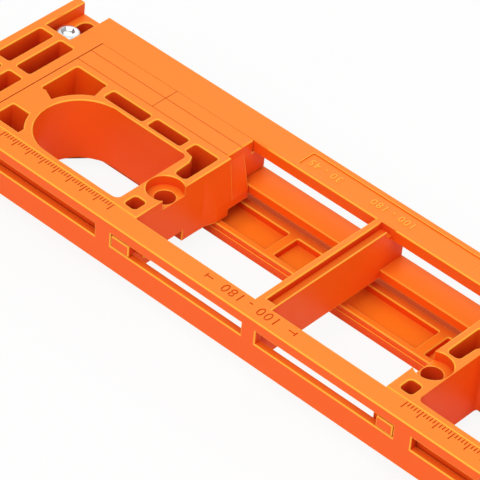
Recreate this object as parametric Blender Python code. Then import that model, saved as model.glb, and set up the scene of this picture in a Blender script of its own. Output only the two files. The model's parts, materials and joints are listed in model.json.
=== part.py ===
# Hinge router template: a plastic frame with two sliders and a width fence.
#
# Sizes are millimetres. Places are measured from a datum: X from the middle between the two
# rulers, Y from the near face of the frame, Z from the frame's underside. The finished part
# stands with its origin in the middle of the bottom of its own box.
import math

import bmesh
import bpy
from mathutils import Matrix, Vector

MM = 0.001
RUN_CLEARANCE = 0.3          # between pieces that slide on or face each other
OVERCUT = 1.0                # how far a cutter runs past the face it opens
ARC_SAG = 0.02               # how far a facet may stand off its true arc

# Frame
FRAME_LENGTH = 238.9
FRAME_WIDTH = 61.9
FRAME_HEIGHT = 15.0
FRAME_CORNER = 1.5
END_PLATE = 19.35            # along X, from the frame's end to the bay
NEAR_RAIL = 6.4              # width of the near rail's top
NEAR_WALL = 2.3              # its front wall, hollow behind
NEAR_FLANGE = 3.3            # thickness of its top
FAR_RAIL = 9.8
FAR_FLANGE = 3.8
LOWER_BAR_NEAR = 48.8        # the bar that carries the sliders' far tongues
LOWER_BAR_FAR = 57.7
LOWER_BAR_HEIGHT = 3.0
CROSSBAR_CENTRE = 2.05
CROSSBAR_WIDTH = 5.7
CROSSBAR_LIP = 1.15
CHANNEL_DEPTH = 11.0
CHANNEL_NEAR = 8.5
CHANNEL_FAR = 50.2

# Windows in the near rail's front wall
WINDOW_SILL = 7.6
WINDOW_CENTRE = 3.0          # middle of the pair of guide slots
SLOT_WEB = 4.8               # between the two guide slots
SLOT_LENGTH = 45.7
BLIND_WEB = 5.7              # between a guide slot and its blind window
BLIND_MARGIN = 3.1           # from a blind window to the end of the bay

# Pockets of an end plate, two columns by two rows
POCKET_LENGTH = 16.8
POCKET_WIDTH = 5.2
POCKET_RIB = 2.6
POCKET_MARGIN = 3.4          # from the inner column to the bay
POCKET_NEAR = 8.5
POCKET_RADIUS = 0.8

# Recess and slot for the fence screw
RECESS_NEAR = 46.75
RECESS_FLOOR = 11.0
END_WALL = 3.05
RECESS_INNER_MARGIN = 7.0    # from the recess to the bay
SCREW_SLOT_WIDTH = 4.6
SCREW_SLOT_FAR = 59.9
SCREW_X = 111.6
SCREW_REST_Y = 50.4

# Panel for the scale on the far rail
PANEL_HALF_LENGTH = 29.5
PANEL_RIM = 1.8
PANEL_DEPTH = 0.4

# Sliders, written for the right one; the left one is its mirror image
SLIDER_INNER = 42.6          # inner face
SLIDER_BAND = 42.3           # where the set-back band starts
BAND_SETBACK = 1.2
TONGUE_NEAR_TOP = 11.3
TONGUE_FAR_TOP = 10.8
SOLE_DEPTH = 4.9             # how far the collar round the opening stands below the frame
TOE_DEPTH = 3.6              # the same for the block under the inner bar
TOE_LENGTH = 6.7
TOE_NEAR = 24.8
TOE_NOTCH = 15.8             # far edge of the toe's near half; between the halves is the hole
FOOT_REACH = 1.4             # flare of the inner face where it stands over the fence
FOOT_HEIGHT = 12.5
FOOT_SEAT = 1.5              # height at which the flare is full
FOOT_START = 32.5
FOOT_BAND_START = 0.4        # how far the foot under the band starts before it
RELIEF_DEPTH = 2.1           # under the slider, over the fence's panels
RELIEF_NEAR = 41.0
GAP_LINE = 0.25              # round the tab in the guide slot
TAB_LENGTH_LEFT = 6.2
TAB_LENGTH_RIGHT = 5.3
TAB_ROOT_LEFT = 3.2          # how far the left tab's root runs on inwards behind the wall

# Opening for the cutter and its guide bush: a half round and a straight end
BUSH_RADIUS = 13.0
BUSH_CENTRE_X = 77.0
BUSH_CENTRE_Y = 21.4
BUSH_END = 51.1
BUSH_CORNER = 1.6
SIDE_WALL = 2.4              # between the half round and the pockets beside it
BACK_WALL = 1.4              # between the opening and the pockets behind it

# Fixing hole in the slider's inner bar
HOLE_X = 45.7
HOLE_Y = 20.6
HOLE_RADIUS = 2.9
COUNTERBORE_RADIUS = 5.2
COUNTERBORE_DEPTH = 3.0

# Width fence
FENCE_NEAR = 36.9
FENCE_WIDTH = 13.9           # of its full height
FENCE_TOP = -3.5
FENCE_BOTTOM = -8.0
FENCE_HALF_LENGTH = 103.7
FENCE_NEAR_RIM = 1.9
FENCE_FAR_RIM = 2.6
FENCE_PANEL_DEPTH = 2.1
FENCE_PANEL_LENGTH = 49.2
FENCE_RIB = 3.0
FENCE_SKIRT_HEIGHT = 2.0     # of the thin part behind, which runs under the lower bar
LAND_PROUD = 0.3             # how far the land that meets the door stands out
LUG_RADIUS = 5.0
LUG_BRIDGE = 9.0
SHORTEST_PANEL = 5.0

# M4 screw and nut
SCREW_RADIUS = 2.0
SCREW_LENGTH = 16.0
HEAD_RADIUS = 3.5
HEAD_HEIGHT = 2.2
HEAD_CHAMFER = 0.35
SOCKET_FLATS = 3.0
SOCKET_DEPTH = 1.5
NUT_FLATS = 7.0
NUT_HEIGHT = 2.2
NUT_POCKET_DEPTH = 5.9
ROUND_SEGMENTS = 32

# Sizes that follow from those above
HALF_LENGTH = FRAME_LENGTH / 2
BAY_END = HALF_LENGTH - END_PLATE
FLANGE_UNDER = FRAME_HEIGHT - NEAR_FLANGE
FAR_RAIL_NEAR = FRAME_WIDTH - FAR_RAIL
FAR_FLANGE_UNDER = FRAME_HEIGHT - FAR_FLANGE
CROSSBAR_LOW = CROSSBAR_CENTRE - CROSSBAR_WIDTH / 2
CROSSBAR_HIGH = CROSSBAR_CENTRE + CROSSBAR_WIDTH / 2
SLOT_LOW = WINDOW_CENTRE - SLOT_WEB / 2 - SLOT_LENGTH
SLOT_HIGH = WINDOW_CENTRE + SLOT_WEB / 2 + SLOT_LENGTH
SLIDER_OUTER = BAY_END - RUN_CLEARANCE
FENCE_FAR = FENCE_NEAR + FENCE_WIDTH
LUG_TOP = -RUN_CLEARANCE
SOLE_FAR = FENCE_NEAR - RUN_CLEARANCE
SLIDER_UNDER = FENCE_TOP + RUN_CLEARANCE
LAND_TOP = -SOLE_DEPTH - RUN_CLEARANCE
HEAD_SEAT = RECESS_FLOOR + RUN_CLEARANCE
NUT_BASE = FENCE_BOTTOM + NUT_POCKET_DEPTH - RUN_CLEARANCE - NUT_HEIGHT
DATUM = Vector((0.0, -FRAME_WIDTH / 2, -FENCE_BOTTOM))

ORANGE = (0.90, 0.19, 0.025, 1.0)
STEEL = (0.62, 0.62, 0.60, 1.0)


def arc(centre, radius, start, end):
    """Points of an arc between two angles in degrees, fine enough for ARC_SAG."""
    step = 2 * math.acos(1 - min(ARC_SAG / radius, 0.5))
    turn = math.radians(end - start)
    count = max(2, math.ceil(abs(turn) / step))
    points = []
    for i in range(count + 1):
        angle = math.radians(start) + turn * i / count
        points.append((centre[0] + radius * math.cos(angle), centre[1] + radius * math.sin(angle)))
    return points


def fillet(before, corner, after, radius):
    """The arc that rounds one corner of an outline."""
    a = (Vector(before) - Vector(corner)).normalized()
    b = (Vector(after) - Vector(corner)).normalized()
    half = a.angle(b) / 2
    centre = Vector(corner) + (a + b).normalized() * (radius / math.sin(half))
    first = Vector(corner) + a * (radius / math.tan(half)) - centre
    last = Vector(corner) + b * (radius / math.tan(half)) - centre
    start = math.degrees(math.atan2(first.y, first.x))
    sweep = math.degrees(math.atan2(first.x * last.y - first.y * last.x, first.dot(last)))
    return arc(centre, radius, start, start + sweep)


def rounded(corners):
    """An outline from corners given as (x, y) or (x, y, radius)."""
    points = []
    for i, corner in enumerate(corners):
        if len(corner) == 2:
            points.append(corner)
            continue
        before = corners[i - 1][:2]
        after = corners[(i + 1) % len(corners)][:2]
        points += fillet(before, corner[:2], after, corner[2])
    return points


def box_outline(x0, y0, x1, y1, radius=0.0):
    """A rectangle, with its corners rounded if a radius is given."""
    corners = [(x0, y0), (x1, y0), (x1, y1), (x0, y1)]
    if radius:
        corners = [(x, y, radius) for x, y in corners]
    return rounded(corners)


def circle_outline(x, y, radius):
    """A full circle of facets."""
    return [(x + radius * math.cos(2 * math.pi * i / ROUND_SEGMENTS),
             y + radius * math.sin(2 * math.pi * i / ROUND_SEGMENTS)) for i in range(ROUND_SEGMENTS)]


def hexagon_outline(flats, x=0.0, y=0.0):
    """A hexagon with two corners on the Y axis, from its width across flats."""
    radius = flats / math.sqrt(3)
    return [(x + radius * math.cos(math.radians(30 + 60 * i)),
             y + radius * math.sin(math.radians(30 + 60 * i))) for i in range(6)]


def mirrored(outline, side):
    """The outline as it is on the right, or mirrored for the left."""
    return [(side * x, y) for x, y in outline]


def prism(name, outline, axis, low, high):
    """A solid of this outline from low to high along X (0), Y (1) or Z (2)."""
    mesh = bmesh.new()
    ring = []
    for u, v in outline:
        place = [u, v]
        place.insert(axis, low)
        ring.append(mesh.verts.new(place))
    mesh.faces.new(ring)
    grown = bmesh.ops.extrude_face_region(mesh, geom=mesh.faces[:])
    travel = Vector((0.0, 0.0, 0.0))
    travel[axis] = high - low
    moved = [item for item in grown["geom"] if isinstance(item, bmesh.types.BMVert)]
    bmesh.ops.translate(mesh, vec=travel, verts=moved)
    bmesh.ops.recalc_face_normals(mesh, faces=mesh.faces[:])
    return link(name, mesh)


def turned(name, profile):
    """A solid of revolution about Z from (radius, z) points, axis to axis, bottom to top."""
    mesh = bmesh.new()
    rings = []
    for radius, z in profile:
        rings.append([mesh.verts.new((x, y, z)) for x, y in circle_outline(0.0, 0.0, radius)])
    for lower, upper in zip(rings, rings[1:]):
        for i in range(ROUND_SEGMENTS):
            j = (i + 1) % ROUND_SEGMENTS
            mesh.faces.new((lower[i], lower[j], upper[j], upper[i]))
    mesh.faces.new(rings[0])
    mesh.faces.new(rings[-1])
    bmesh.ops.recalc_face_normals(mesh, faces=mesh.faces[:])
    return link(name, mesh)


def link(name, mesh):
    """Puts a bmesh into the scene as an object."""
    data = bpy.data.meshes.new(name)
    mesh.to_mesh(data)
    mesh.free()
    item = bpy.data.objects.new(name, data)
    bpy.context.scene.collection.objects.link(item)
    return item


def combine(body, tool, operation):
    """Applies one Boolean of the tool to the body and removes the tool."""
    modifier = body.modifiers.new(operation.lower(), "BOOLEAN")
    modifier.object = tool
    modifier.operation = operation
    modifier.solver = "EXACT"
    bpy.context.view_layer.objects.active = body
    bpy.ops.object.modifier_apply(modifier=modifier.name)
    bpy.data.objects.remove(tool)


def cut(body, outline, axis, low, high):
    """Takes a prism away from the body."""
    combine(body, prism("cutter", outline, axis, low, high), "DIFFERENCE")


def add(body, outline, axis, low, high):
    """Joins a prism to the body."""
    combine(body, prism("addition", outline, axis, low, high), "UNION")


def through(body, outline):
    """Opens the body from top to bottom with this outline."""
    cut(body, outline, 2, FENCE_BOTTOM - OVERCUT, FRAME_HEIGHT + OVERCUT)


def material(name, colour, roughness, metallic):
    """A Principled material of one plain finish."""
    made = bpy.data.materials.new(name)
    made.use_nodes = True
    shader = made.node_tree.nodes["Principled BSDF"]
    shader.inputs["Base Color"].default_value = colour
    shader.inputs["Roughness"].default_value = roughness
    shader.inputs["Metallic"].default_value = metallic
    return made


def finish(item, origin, made_of):
    """Scales to metres, puts the object's origin at a point of the datum frame, sets the material."""
    origin = Vector(origin)
    item.data.transform(Matrix.Translation(-origin))
    item.data.transform(Matrix.Scale(MM, 4))
    item.location = (origin + DATUM) * MM
    item.data.materials.clear()
    item.data.materials.append(made_of)
    item.data.shade_smooth()
    item.data.set_sharp_from_angle(angle=math.radians(30))
    return item


def carry(item, carrier):
    """Parents one finished object to another without moving it."""
    item.location -= carrier.location
    item.parent = carrier


# Frame

def bay_section():
    """What is open between the rails, as a Y-Z outline: the hollow near rail, the space over the
    lower bar, and the open underside of the far rail."""
    below = -OVERCUT
    above = FRAME_HEIGHT + OVERCUT
    outside = FRAME_WIDTH + OVERCUT
    return [
        (NEAR_WALL, below), (LOWER_BAR_NEAR, below),
        (LOWER_BAR_NEAR, LOWER_BAR_HEIGHT), (LOWER_BAR_FAR, LOWER_BAR_HEIGHT),
        (LOWER_BAR_FAR, below), (outside, below),
        (outside, FAR_FLANGE_UNDER), (FAR_RAIL_NEAR, FAR_FLANGE_UNDER),
        (FAR_RAIL_NEAR, above), (NEAR_RAIL, above),
        (NEAR_RAIL, FLANGE_UNDER), (NEAR_WALL, FLANGE_UNDER),
    ]


def open_bays(body):
    """Opens the frame on both sides of the crossbar, and under the far rail behind it."""
    cut(body, bay_section(), 0, -BAY_END, CROSSBAR_LOW)
    cut(body, bay_section(), 0, CROSSBAR_HIGH, BAY_END)
    behind = box_outline(LOWER_BAR_FAR, -OVERCUT, FRAME_WIDTH + OVERCUT, FAR_FLANGE_UNDER)
    cut(body, behind, 0, CROSSBAR_LOW - OVERCUT, CROSSBAR_HIGH + OVERCUT)


def open_windows(body):
    """Cuts the guide slots and the blind windows into the near rail's front wall."""
    blind_low = SLOT_LOW - BLIND_WEB
    blind_high = SLOT_HIGH + BLIND_WEB
    spans = [
        (-BAY_END + BLIND_MARGIN, blind_low),
        (SLOT_LOW, SLOT_LOW + SLOT_LENGTH),
        (SLOT_HIGH - SLOT_LENGTH, SLOT_HIGH),
        (blind_high, BAY_END - BLIND_MARGIN),
    ]
    for low, high in spans:
        cut(body, box_outline(low, WINDOW_SILL, high, FLANGE_UNDER), 1, -OVERCUT, NEAR_WALL + OVERCUT)


def open_crossbar(body):
    """Cuts the channel with rounded ends into the top of the crossbar."""
    low = CROSSBAR_LOW + CROSSBAR_LIP
    high = CROSSBAR_HIGH - CROSSBAR_LIP
    outline = box_outline(low, CHANNEL_NEAR, high, CHANNEL_FAR, (high - low) * 0.45)
    cut(body, outline, 2, FRAME_HEIGHT - CHANNEL_DEPTH, FRAME_HEIGHT + OVERCUT)


def open_end_plate(body, side):
    """Cuts the pockets, the corner recess and the screw slot into one end plate."""
    for column in range(2):
        outer = BAY_END + POCKET_MARGIN + column * (POCKET_WIDTH + POCKET_RIB)
        for row in range(2):
            near = POCKET_NEAR + row * (POCKET_LENGTH + POCKET_RIB)
            outline = box_outline(outer, near, outer + POCKET_WIDTH, near + POCKET_LENGTH, POCKET_RADIUS)
            through(body, mirrored(outline, side))
    recess = box_outline(BAY_END + RECESS_INNER_MARGIN, RECESS_NEAR, HALF_LENGTH - END_WALL, FRAME_WIDTH + OVERCUT)
    cut(body, mirrored(recess, side), 2, RECESS_FLOOR, FRAME_HEIGHT + OVERCUT)
    half = SCREW_SLOT_WIDTH / 2
    slot = box_outline(SCREW_X - half, SCREW_REST_Y - half, SCREW_X + half, SCREW_SLOT_FAR, half * 0.98)
    through(body, mirrored(slot, side))


def build_frame():
    """One moulding: rails, end plates, crossbar and lower bar."""
    outline = box_outline(-HALF_LENGTH, 0.0, HALF_LENGTH, FRAME_WIDTH, FRAME_CORNER)
    body = prism("frame", outline, 2, 0.0, FRAME_HEIGHT)
    open_bays(body)
    open_windows(body)
    open_crossbar(body)
    for side in (-1, 1):
        open_end_plate(body, side)
    panel = box_outline(-PANEL_HALF_LENGTH, FAR_RAIL_NEAR + PANEL_RIM, PANEL_HALF_LENGTH, FRAME_WIDTH - PANEL_RIM, 0.6)
    cut(body, panel, 2, FRAME_HEIGHT - PANEL_DEPTH, FRAME_HEIGHT + OVERCUT)
    return finish(body, (0.0, 0.0, 0.0), material("frame_plastic", ORANGE, 0.42, 0.0))


# Sliders

def slider_section():
    """Y-Z outline of a slider: a flush top, a tongue under each rail, and an underside that comes
    down to the fence."""
    near = NEAR_RAIL + RUN_CLEARANCE
    far = FAR_RAIL_NEAR - RUN_CLEARANCE
    return [
        (NEAR_WALL + RUN_CLEARANCE, 0.0), (SOLE_FAR, 0.0),
        (SOLE_FAR, SLIDER_UNDER), (LOWER_BAR_NEAR - RUN_CLEARANCE, SLIDER_UNDER),
        (LOWER_BAR_NEAR - RUN_CLEARANCE, LOWER_BAR_HEIGHT + RUN_CLEARANCE),
        (LOWER_BAR_FAR - RUN_CLEARANCE, LOWER_BAR_HEIGHT + RUN_CLEARANCE),
        (LOWER_BAR_FAR - RUN_CLEARANCE, TONGUE_FAR_TOP), (far, TONGUE_FAR_TOP),
        (far, FRAME_HEIGHT), (near, FRAME_HEIGHT),
        (near, TONGUE_NEAR_TOP), (NEAR_WALL + RUN_CLEARANCE, TONGUE_NEAR_TOP),
    ]


def bush_outline():
    """The opening that guides the cutter: a half round outside, a straight end inside."""
    near = BUSH_CENTRE_Y - BUSH_RADIUS
    far = BUSH_CENTRE_Y + BUSH_RADIUS
    round_end = arc((BUSH_CENTRE_X, BUSH_CENTRE_Y), BUSH_RADIUS, -90.0, 90.0)
    far_corner = fillet((BUSH_CENTRE_X, far), (BUSH_END, far), (BUSH_END, near), BUSH_CORNER)
    near_corner = fillet((BUSH_END, far), (BUSH_END, near), (BUSH_CENTRE_X, near), BUSH_CORNER)
    return round_end + far_corner + near_corner


def beside_round(x_inner, y_low, y_high):
    """Points of the arc that keeps SIDE_WALL to the half round, cut off at x_inner or the two Ys."""
    radius = BUSH_RADIUS + SIDE_WALL
    centre = (BUSH_CENTRE_X, BUSH_CENTRE_Y)
    low = math.degrees(math.asin(max(-1.0, (y_low - centre[1]) / radius)))
    high = math.degrees(math.asin(min(1.0, (y_high - centre[1]) / radius)))
    limit = math.degrees(math.acos((x_inner - centre[0]) / radius))
    return arc(centre, radius, max(low, -limit), min(high, limit))


def side_pockets():
    """The two pockets that wrap the half round, beside the slider's outer end."""
    outer = SLIDER_OUTER - 2.4
    near = NEAR_RAIL + RUN_CLEARANCE + 1.9
    corner_x = BUSH_CENTRE_X + 10.9
    near_wrap = beside_round(corner_x, near, 16.1)
    near_pocket = rounded([near_wrap[-1], (outer, 16.1, 0.6), (outer, near, 2.4), (corner_x, near)]) + near_wrap[:-1]
    far_inner = BUSH_CENTRE_X + 8.3
    far = SLIDER_BAND - 2.3
    far_wrap = beside_round(far_inner, 24.8, far)
    far_pocket = rounded([(far_inner, far, 0.8), (outer, far, 0.8), (outer, 24.8, 0.8)]) + far_wrap
    return near_pocket, far_pocket


def back_pockets():
    """The row of pockets behind the opening, the last one bent round the fixing hole's bar."""
    near = BUSH_CENTRE_Y + BUSH_RADIUS + BACK_WALL
    far = SLIDER_BAND - 2.6
    bar_inner = SLIDER_INNER + 2.1
    bar_outer = bar_inner + 4.2
    return (
        box_outline(69.1, near, 83.4, far, 0.8),
        box_outline(55.3, near, 67.2, far, 0.8),
        rounded([(bar_inner, 26.9, 1.2), (bar_outer - 0.3, 26.9, 1.2), (bar_outer, 33.0), (bar_outer + 1.2, near - 0.6),
                 (53.1, near, 0.5), (53.1, far, 0.8), (bar_inner, far, 0.8)]),
        box_outline(45.0, 8.5, 49.0, 13.0, 1.1),
    )


def tab_span(side):
    """Low and high X of the tab that stands in this side's guide slot, at the slot's outer end."""
    if side < 0:
        return SLOT_LOW + GAP_LINE, SLOT_LOW + GAP_LINE + TAB_LENGTH_LEFT
    return SLOT_HIGH - GAP_LINE - TAB_LENGTH_RIGHT, SLOT_HIGH - GAP_LINE


def add_tab(body, side):
    """Adds the tab that fills the guide slot's height, on a root that reaches the slider."""
    low, high = tab_span(side)
    sill = WINDOW_SILL + GAP_LINE
    add(body, box_outline(low, sill, high, TONGUE_NEAR_TOP), 1, 0.0, NEAR_WALL + RUN_CLEARANCE + 0.5)
    if side < 0:
        root = (-SLIDER_INNER - 2.0, high + TAB_ROOT_LEFT)
    else:
        root = (low, SLIDER_INNER + 2.0)
    add(body, box_outline(root[0], sill, root[1], TONGUE_NEAR_TOP), 1,
        NEAR_WALL + RUN_CLEARANCE, NEAR_RAIL - RUN_CLEARANCE)


def add_sole(body, side):
    """Adds what stands below the frame: the collar round the opening, and a toe under the inner
    bar in two halves, one on each side of the fixing hole."""
    inner = SLIDER_INNER + TOE_LENGTH
    near = NEAR_RAIL + RUN_CLEARANCE
    collar = [(inner, near)] + beside_round(BUSH_CENTRE_X, near, SOLE_FAR) + [(inner, SOLE_FAR)]
    add(body, mirrored(collar, side), 2, -SOLE_DEPTH, OVERCUT)
    for low, high in ((near, TOE_NOTCH), (TOE_NEAR, SOLE_FAR)):
        toe = box_outline(SLIDER_INNER, low, inner + OVERCUT, high)
        add(body, mirrored(toe, side), 2, -TOE_DEPTH, OVERCUT)


def add_foot(body, side):
    """Flares the inner face out over the fence, with a slanting start beside the toe."""
    tip = SLIDER_INNER - FOOT_REACH
    far = LOWER_BAR_NEAR - RUN_CLEARANCE
    for face, near, low, high in (
        (SLIDER_INNER, FOOT_START, SLIDER_BAND, FOOT_HEIGHT),
        (SLIDER_INNER + BAND_SETBACK, SLIDER_BAND - FOOT_BAND_START, far, FOOT_HEIGHT),
    ):
        outline = [(face + OVERCUT, SLIDER_UNDER), (tip, SLIDER_UNDER), (tip, FOOT_SEAT),
                   (face, high), (face + OVERCUT, high)]
        add(body, mirrored(outline, side), 1, near, low)
    start = [(SLIDER_INNER, FOOT_START), (tip - OVERCUT, FOOT_START), (tip - OVERCUT, SOLE_FAR),
             (tip, SOLE_FAR)]
    through(body, mirrored(start, side))


def build_slider(name, side):
    """One moulding that slides along the frame; side is -1 for the left one, 1 for the right one."""
    ends = sorted((side * SLIDER_INNER, side * SLIDER_OUTER))
    body = prism(name, slider_section(), 0, ends[0], ends[1])
    add_sole(body, side)
    add_tab(body, side)
    through(body, mirrored(bush_outline(), side))
    for outline in side_pockets() + back_pockets():
        through(body, mirrored(outline, side))
    setback = box_outline(SLIDER_INNER - OVERCUT, SLIDER_BAND, SLIDER_INNER + BAND_SETBACK, FRAME_WIDTH)
    through(body, mirrored(setback, side))
    add_foot(body, side)
    hole = circle_outline(HOLE_X, HOLE_Y, HOLE_RADIUS)
    through(body, mirrored(hole, side))
    counterbore = circle_outline(HOLE_X, HOLE_Y, COUNTERBORE_RADIUS)
    cut(body, mirrored(counterbore, side), 2, FRAME_HEIGHT - COUNTERBORE_DEPTH, FRAME_HEIGHT + OVERCUT)
    relief = box_outline(RELIEF_NEAR, SLIDER_UNDER - OVERCUT, LOWER_BAR_NEAR, SLIDER_UNDER + RELIEF_DEPTH)
    cut(body, relief, 0, ends[0] - FOOT_REACH - OVERCUT, ends[1] + FOOT_REACH + OVERCUT)
    middle = (side * BUSH_CENTRE_X, BUSH_CENTRE_Y, 0.0)
    return finish(body, middle, material(name + "_plastic", ORANGE, 0.42, 0.0))


# Width fence

def lug_outline(side, inner):
    """The lug at one end of the fence: a round eye at the screw and a bridge in to this X."""
    far = SCREW_REST_Y + LUG_RADIUS
    eye = arc((SCREW_X, SCREW_REST_Y), LUG_RADIUS, -60.0, 90.0)
    return mirrored([(inner, FENCE_FAR - LUG_BRIDGE), (FENCE_HALF_LENGTH, FENCE_FAR - LUG_BRIDGE)] + eye
                    + [(inner, far)], side)


def fence_panels():
    """Low and high X of each sunk panel: a run of equal ones centred on the crossbar, cut short
    at the lugs."""
    limit = FENCE_HALF_LENGTH - LUG_BRIDGE - FENCE_RIB
    pitch = FENCE_PANEL_LENGTH + FENCE_RIB
    count = math.ceil(limit / pitch)
    spans = []
    for i in range(-count, count + 1):
        middle = CROSSBAR_CENTRE + i * pitch
        low = max(-limit, middle - FENCE_PANEL_LENGTH / 2)
        high = min(limit, middle + FENCE_PANEL_LENGTH / 2)
        if high - low > SHORTEST_PANEL:
            spans.append((low, high))
    return spans


def build_fence():
    """One moulding: a bar with sunk panels between ribs, a land along its near face for the door,
    a thin skirt behind that runs under the lower bar, and at each end a lug for a screw, raised to
    bear on the end plate."""
    bar = box_outline(-FENCE_HALF_LENGTH, FENCE_NEAR, FENCE_HALF_LENGTH, FENCE_FAR)
    body = prism("width_fence", bar, 2, FENCE_BOTTOM, FENCE_TOP)
    land = box_outline(-FENCE_HALF_LENGTH, FENCE_NEAR - LAND_PROUD, FENCE_HALF_LENGTH, FENCE_FAR)
    add(body, land, 2, FENCE_BOTTOM, LAND_TOP)
    half = FENCE_HALF_LENGTH - LUG_BRIDGE / 2
    skirt = box_outline(-half, FENCE_FAR - FENCE_FAR_RIM / 2, half, SCREW_REST_Y + LUG_RADIUS)
    add(body, skirt, 2, FENCE_BOTTOM, FENCE_BOTTOM + FENCE_SKIRT_HEIGHT)
    for side in (-1, 1):
        add(body, lug_outline(side, FENCE_HALF_LENGTH - LUG_BRIDGE), 2, FENCE_BOTTOM, FENCE_TOP)
        add(body, lug_outline(side, BAY_END + RUN_CLEARANCE), 2, FENCE_BOTTOM, LUG_TOP)
    for low, high in fence_panels():
        panel = box_outline(low, FENCE_NEAR + FENCE_NEAR_RIM, high, FENCE_FAR - FENCE_FAR_RIM, 0.5)
        cut(body, panel, 2, FENCE_TOP - FENCE_PANEL_DEPTH, FENCE_TOP + OVERCUT)
    for side in (-1, 1):
        x = side * SCREW_X
        through(body, circle_outline(x, SCREW_REST_Y, SCREW_RADIUS + RUN_CLEARANCE))
        pocket = hexagon_outline(NUT_FLATS + 2 * RUN_CLEARANCE, x, SCREW_REST_Y)
        cut(body, pocket, 2, FENCE_BOTTOM - OVERCUT, FENCE_BOTTOM + NUT_POCKET_DEPTH)
    middle = (0.0, FENCE_NEAR, FENCE_BOTTOM)
    return finish(body, middle, material("fence_plastic", ORANGE, 0.42, 0.0))


# Screws and nuts

def build_screw(name, side, fence):
    """A socket head screw that holds one lug of the fence to its end plate."""
    top = HEAD_SEAT + HEAD_HEIGHT
    body = turned(name, [
        (SCREW_RADIUS - 0.4, HEAD_SEAT - SCREW_LENGTH), (SCREW_RADIUS, HEAD_SEAT - SCREW_LENGTH + 0.4),
        (SCREW_RADIUS, HEAD_SEAT), (HEAD_RADIUS, HEAD_SEAT),
        (HEAD_RADIUS, top - HEAD_CHAMFER), (HEAD_RADIUS - HEAD_CHAMFER, top),
    ])
    cut(body, hexagon_outline(SOCKET_FLATS), 2, top - SOCKET_DEPTH, top + OVERCUT)
    body.data.transform(Matrix.Translation((side * SCREW_X, SCREW_REST_Y, 0.0)))
    finish(body, (side * SCREW_X, SCREW_REST_Y, HEAD_SEAT), material(name + "_steel", STEEL, 0.25, 1.0))
    carry(body, fence)
    return body


def build_nut(name, side, fence):
    """A thin hexagon nut in the pocket under the lug."""
    body = prism(name, hexagon_outline(NUT_FLATS), 2, NUT_BASE, NUT_BASE + NUT_HEIGHT)
    bore = circle_outline(0.0, 0.0, SCREW_RADIUS + RUN_CLEARANCE)
    cut(body, bore, 2, NUT_BASE - OVERCUT, NUT_BASE + NUT_HEIGHT + OVERCUT)
    body.data.transform(Matrix.Translation((side * SCREW_X, SCREW_REST_Y, 0.0)))
    finish(body, (side * SCREW_X, SCREW_REST_Y, NUT_BASE), material(name + "_steel", STEEL, 0.3, 1.0))
    carry(body, fence)
    return body


def build():
    """Clears the scene and builds every piece."""
    for item in list(bpy.data.objects):
        bpy.data.objects.remove(item)
    build_frame()
    build_slider("slider_left", -1)
    build_slider("slider_right", 1)
    fence = build_fence()
    for word, side in (("left", -1), ("right", 1)):
        build_screw("fence_screw_" + word, side, fence)
        build_nut("fence_nut_" + word, side, fence)


build()
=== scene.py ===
# %% [markdown]
# Dressing a hinge router template
#
# The object is a long plastic frame. Two sliders run in it, a fence hangs below it, and small
# steel screws clamp the fence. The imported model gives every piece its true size. This lesson
# gives the same pieces rounded edges, engraved rulers, moulded plastic and bright steel.

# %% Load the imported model
import json
import math

import bmesh
import bpy
import numpy as np
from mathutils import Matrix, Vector

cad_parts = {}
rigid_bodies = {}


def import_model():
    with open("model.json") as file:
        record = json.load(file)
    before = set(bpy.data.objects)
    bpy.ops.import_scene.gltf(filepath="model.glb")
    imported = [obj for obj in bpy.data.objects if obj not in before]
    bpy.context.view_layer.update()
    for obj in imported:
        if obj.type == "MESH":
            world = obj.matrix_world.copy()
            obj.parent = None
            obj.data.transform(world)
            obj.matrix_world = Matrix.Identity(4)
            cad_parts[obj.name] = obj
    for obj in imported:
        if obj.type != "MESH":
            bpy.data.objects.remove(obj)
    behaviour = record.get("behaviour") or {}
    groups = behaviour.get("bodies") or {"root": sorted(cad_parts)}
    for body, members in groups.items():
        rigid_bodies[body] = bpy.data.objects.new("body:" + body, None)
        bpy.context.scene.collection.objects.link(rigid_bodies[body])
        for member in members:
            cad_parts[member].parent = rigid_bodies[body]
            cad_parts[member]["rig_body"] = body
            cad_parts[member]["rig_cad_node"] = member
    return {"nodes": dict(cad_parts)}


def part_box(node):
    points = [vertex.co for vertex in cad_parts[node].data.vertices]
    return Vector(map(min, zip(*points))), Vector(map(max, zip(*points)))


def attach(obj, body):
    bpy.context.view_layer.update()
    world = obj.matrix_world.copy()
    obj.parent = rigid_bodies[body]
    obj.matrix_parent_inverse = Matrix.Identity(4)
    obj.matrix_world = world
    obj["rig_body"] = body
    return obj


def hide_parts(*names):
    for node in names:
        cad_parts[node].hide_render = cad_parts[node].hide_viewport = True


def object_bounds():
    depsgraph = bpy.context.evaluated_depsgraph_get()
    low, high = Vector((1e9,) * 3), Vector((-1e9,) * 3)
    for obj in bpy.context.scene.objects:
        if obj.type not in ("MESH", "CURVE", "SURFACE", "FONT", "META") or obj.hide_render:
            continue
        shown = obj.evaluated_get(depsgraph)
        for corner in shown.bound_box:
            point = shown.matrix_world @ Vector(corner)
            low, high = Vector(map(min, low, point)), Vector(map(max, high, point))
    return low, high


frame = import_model()
cad_low, cad_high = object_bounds()
nodes = frame["nodes"]
MM = 0.001
print("nodes:", sorted(nodes))

# %% [markdown]
# Landmarks
#
# Rulers and numbers are placed from the pieces that carry them. Most places on the template are
# easiest to give in millimetres, counted from the middle between the two rulers, from the near
# face of the frame and from the frame's underside.

# %% A place on the template
frame_low, frame_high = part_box("frame")
TOP = frame_high.z
DATUM = Vector((0.0, frame_low.y, frame_low.z))


def at(x, y, z=0.0):
    """Turns millimetres on the template into metres in the scene."""
    return DATUM + Vector((x, y, z)) * MM


print("frame from", tuple(frame_low), "to", tuple(frame_high))

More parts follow.
